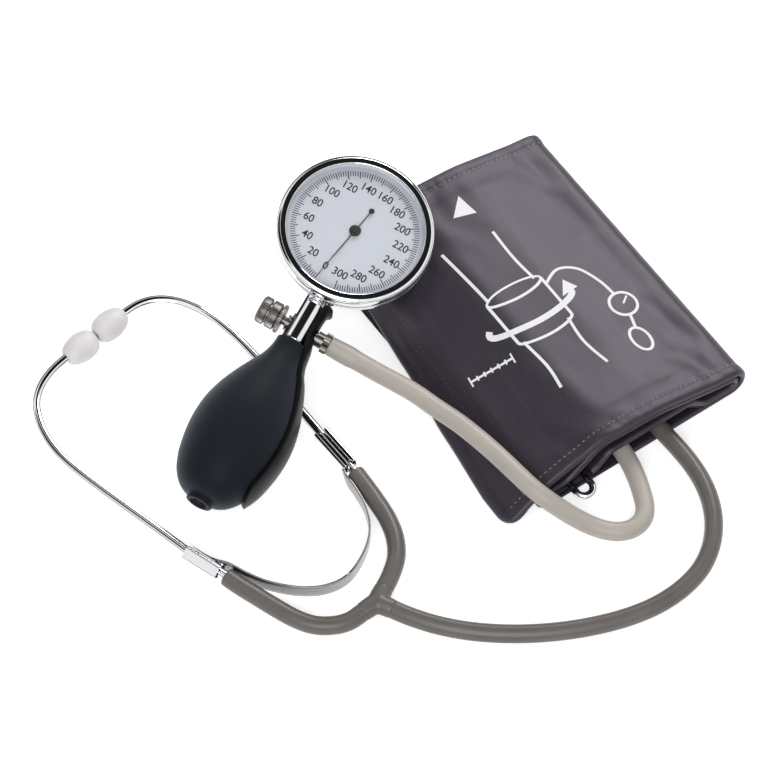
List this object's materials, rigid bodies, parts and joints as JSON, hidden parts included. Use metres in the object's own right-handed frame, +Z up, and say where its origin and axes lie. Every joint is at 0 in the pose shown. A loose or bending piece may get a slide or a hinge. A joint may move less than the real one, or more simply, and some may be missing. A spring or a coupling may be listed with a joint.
{
  "type": "arm blood pressure set",
  "caption": "Palm-held dial gauge with squeeze bulb and turn valve, joined by a hose to a folded arm cuff that holds a chest piece, with a two-ear stethoscope",
  "frame": {"origin": "on the table under the middle of the folded cuff, at the centre of its flat underside", "axes": "+X along the cuff's folding direction away from the headset, +Y across the cuff's width, +Z up from the table"},
  "size_m": [0.2565, 0.2479, 0.0544],
  "materials": {
    "chrome": "polished",
    "glass": "clear",
    "black_rubber": "matte",
    "dial": "matte print",
    "brass": "machined",
    "steel": "ground",
    "nickel": "knurled",
    "pointer_black": "satin",
    "black_enamel": "gloss",
    "hose_rubber": "satin",
    "tube_rubber": "satin",
    "cuff_cloth": "woven nylon",
    "lining_cloth": "woven nylon",
    "hook_tape": "hooks",
    "loop_tape": "brushed loops",
    "film": "stiff film",
    "ear_white": "soft satin"
  },
  "bodies": {
    "set": {"case_shell": "chrome", "bezel_ring": "chrome", "crystal": "glass", "crystal_gasket": "black_rubber", "dial_ring": "chrome", "dial_plate": "dial", "pressure_block": "brass", "capsule": "brass", "movement_plate": "brass", "movement_bridge": "brass", "bridge_screws": "steel", "case_screws": "steel", "hairspring": "steel", "stem": "chrome", "outlet_valve": "black_rubber", "valve_gland": "chrome", "hose_connector": "nickel", "palm_spoon": "black_enamel", "bulb": "black_rubber", "intake_valve_body": "black_rubber", "intake_screen": "steel", "air_hose": "hose_rubber", "cuff_cover": "cuff_cloth", "cuff_lining": "lining_cloth", "front_hem": "cuff_cloth", "back_hem": "cuff_cloth", "bladder": "black_rubber", "bladder_nipple": "black_rubber", "hook_patch": "hook_tape", "loop_patch": "loop_tape", "ring_loop": "cuff_cloth", "chest_cup": "nickel", "diaphragm": "film", "diaphragm_ring": "nickel", "chest_nipple": "nickel", "stethoscope_tube": "tube_rubber", "tube_fork": "tube_rubber", "left_branch": "tube_rubber", "right_branch": "tube_rubber", "leaf_spring": "steel"},
    "rocker": {"rocking_shaft": "steel"},
    "sector": {"sector_gear": "brass"},
    "indicator": {"pinion_staff": "steel", "pointer": "pointer_black"},
    "knob": {"valve_needle": "steel", "valve_knob": "nickel"},
    "check_ball": {"intake_ball": "steel"},
    "left_ear": {"left_sleeve": "chrome", "left_ear_tube": "chrome", "left_ear_tip": "ear_white"},
    "right_ear": {"right_sleeve": "chrome", "right_ear_tube": "chrome", "right_ear_tip": "ear_white"},
    "ring": {"bar_ring": "chrome"}
  },
  "joints": [
    {"name": "sector_swing", "type": "hinge", "parent": "set", "child": "sector", "pos_m": [-0.03669, 0.05324, 0.03686], "axis": [-0.0203, -0.2519, 0.9675], "range_deg": [0, 34], "deforming": ["capsule"]},
    {"name": "rocker_turn", "type": "hinge", "parent": "set", "child": "rocker", "pos_m": [-0.04153, 0.0631, 0.0355], "axis": [0.4707, -0.8562, -0.213], "range_deg": [-30.1, 0]},
    {"name": "pointer_turn", "type": "hinge", "parent": "set", "child": "indicator", "pos_m": [-0.04472, 0.06019, 0.04016], "axis": [-0.0203, -0.2519, 0.9675], "range_deg": [-340.4, 0]},
    {"name": "knob_turn", "type": "hinge", "parent": "set", "child": "knob", "pos_m": [-0.09135, 0.05095, 0.03057], "axis": [-0.4707, 0.8562, 0.213], "range_deg": [0, 540]},
    {"name": "ball_lift", "type": "slide", "parent": "set", "child": "check_ball", "axis": [0.8821, 0.4511, 0.136], "range_m": [0, 0.0018]},
    {"name": "left_ear_spread", "type": "hinge", "parent": "set", "child": "left_ear", "pos_m": [-0.131, -0.0572, 0.005], "axis": [0, 0, 1], "range_deg": [0, 28], "stiffness_Nm_per_rad": 1.15, "deforming": ["left_branch", "leaf_spring"]},
    {"name": "right_ear_spread", "type": "hinge", "parent": "set", "child": "right_ear", "pos_m": [-0.131, -0.0572, 0.005], "axis": [0, 0, 1], "range_deg": [-17, 0], "stiffness_Nm_per_rad": 1.15, "deforming": ["right_branch"]},
    {"name": "ring_tilt", "type": "hinge", "parent": "set", "child": "ring", "pos_m": [-0.0223, -0.005, 0.00515], "axis": [0, 1, 0], "range_deg": [0, 5.5]}
  ],
  "couplings": [
    {"joint": "pointer_turn", "follows": "sector_swing", "ratio": -10},
    {"joint": "rocker_turn", "follows": "sector_swing", "ratio": -0.8824}
  ]
}
